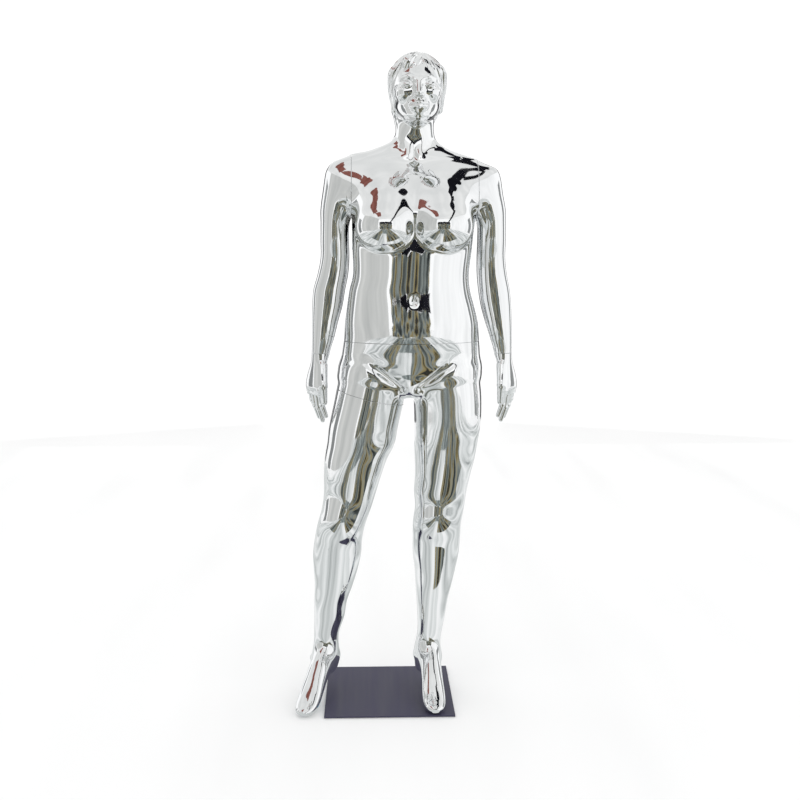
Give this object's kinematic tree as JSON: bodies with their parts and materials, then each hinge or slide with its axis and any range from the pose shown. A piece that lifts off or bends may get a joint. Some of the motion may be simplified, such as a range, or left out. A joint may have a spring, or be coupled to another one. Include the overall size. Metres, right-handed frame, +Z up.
{
  "type": "full body mannequin",
  "caption": "Plus-size female display mannequin in a mirror finish, standing on a thin square base, with removable torso, arms, hands and leg.",
  "frame": {"origin": "centre of the base's underside, on the floor", "axes": "+Z up, the figure faces -Y, +X to the right of a viewer in front of it, which is the mannequin's own left"},
  "size_m": [0.6049, 0.35, 1.7518],
  "materials": {
    "mirror_finish": "polished",
    "coated_plate": "satin",
    "underlay": "matte",
    "plated_steel": "satin",
    "closing_disc": "matte"
  },
  "bodies": {
    "base": {"base_plate": "coated_plate", "base_underlay": "underlay", "support_rod": "plated_steel", "rod_bolt": "plated_steel"},
    "lower_body": {"lower_body_shell": "mirror_finish", "rod_sleeve": "plated_steel", "rod_grub_screw": "plated_steel", "waist_lower_disc": "closing_disc", "waist_peg": "plated_steel", "waist_peg_screw_1": "plated_steel", "waist_peg_screw_2": "plated_steel", "waist_peg_screw_3": "plated_steel", "thigh_upper_disc": "closing_disc", "thigh_socket": "plated_steel", "thigh_socket_screw_1": "plated_steel", "thigh_socket_screw_2": "plated_steel"},
    "right_leg": {"right_leg_shell": "mirror_finish", "right_leg_disc": "closing_disc", "right_leg_peg": "plated_steel", "right_leg_peg_screw_1": "plated_steel", "right_leg_peg_screw_2": "plated_steel"},
    "torso": {"torso_shell": "mirror_finish", "torso_disc": "closing_disc", "waist_socket": "plated_steel", "waist_socket_screw_1": "plated_steel", "waist_socket_screw_2": "plated_steel", "waist_socket_screw_3": "plated_steel", "right_shoulder_disc": "closing_disc", "right_shoulder_ring": "plated_steel", "right_shoulder_ring_screw_1": "plated_steel", "right_shoulder_ring_screw_2": "plated_steel", "left_shoulder_disc": "closing_disc", "left_shoulder_ring": "plated_steel", "left_shoulder_ring_screw_1": "plated_steel", "left_shoulder_ring_screw_2": "plated_steel"},
    "right_shoulder": {"right_shoulder_rotor": "plated_steel"},
    "right_arm": {"right_arm_shell": "mirror_finish", "right_arm_disc": "closing_disc", "right_arm_peg": "plated_steel", "right_arm_peg_screw_1": "plated_steel", "right_arm_peg_screw_2": "plated_steel"},
    "right_wrist": {"right_wrist_rotor": "plated_steel"},
    "right_hand": {"right_hand_shell": "mirror_finish", "right_hand_peg": "plated_steel"},
    "left_shoulder": {"left_shoulder_rotor": "plated_steel"},
    "left_arm": {"left_arm_shell": "mirror_finish", "left_arm_disc": "closing_disc", "left_arm_peg": "plated_steel", "left_arm_peg_screw_1": "plated_steel", "left_arm_peg_screw_2": "plated_steel"},
    "left_wrist": {"left_wrist_rotor": "plated_steel"},
    "left_hand": {"left_hand_shell": "mirror_finish", "left_hand_peg": "plated_steel"}
  },
  "joints": [
    {"name": "body_lift", "type": "slide", "parent": "base", "child": "lower_body", "axis": [0, 0, 1], "range_m": [0, 0.24]},
    {"name": "torso_lift", "type": "slide", "parent": "lower_body", "child": "torso", "axis": [0, 0, 1], "range_m": [0, 0.06]},
    {"name": "right_leg_release", "type": "slide", "parent": "lower_body", "child": "right_leg", "axis": [-0.2336, 0, -0.9723], "range_m": [0, 0.045]},
    {"name": "right_arm_swing", "type": "hinge", "parent": "torso", "child": "right_shoulder", "pos_m": [-0.096, 0.024, 1.4], "axis": [-1, 0, 0], "range_deg": [-20, 60]},
    {"name": "right_arm_release", "type": "slide", "parent": "right_shoulder", "child": "right_arm", "axis": [-1, 0, 0], "range_m": [0, 0.035]},
    {"name": "right_hand_turn", "type": "hinge", "parent": "right_arm", "child": "right_wrist", "pos_m": [-0.182, 0.004, 0.96], "axis": [0, 0, 1], "range_deg": [-45, 15]},
    {"name": "right_hand_release", "type": "slide", "parent": "right_wrist", "child": "right_hand", "axis": [0, 0, -1], "range_m": [0, 0.022]},
    {"name": "left_arm_swing", "type": "hinge", "parent": "torso", "child": "left_shoulder", "pos_m": [0.237, 0.024, 1.396], "axis": [-1, 0, 0], "range_deg": [-20, 60]},
    {"name": "left_arm_release", "type": "slide", "parent": "left_shoulder", "child": "left_arm", "axis": [1, 0, 0], "range_m": [0, 0.035]},
    {"name": "left_hand_turn", "type": "hinge", "parent": "left_arm", "child": "left_wrist", "pos_m": [0.3117, 0.004, 0.96], "axis": [0, 0, 1], "range_deg": [-15, 45]},
    {"name": "left_hand_release", "type": "slide", "parent": "left_wrist", "child": "left_hand", "axis": [0, 0, -1], "range_m": [0, 0.022]}
  ]
}
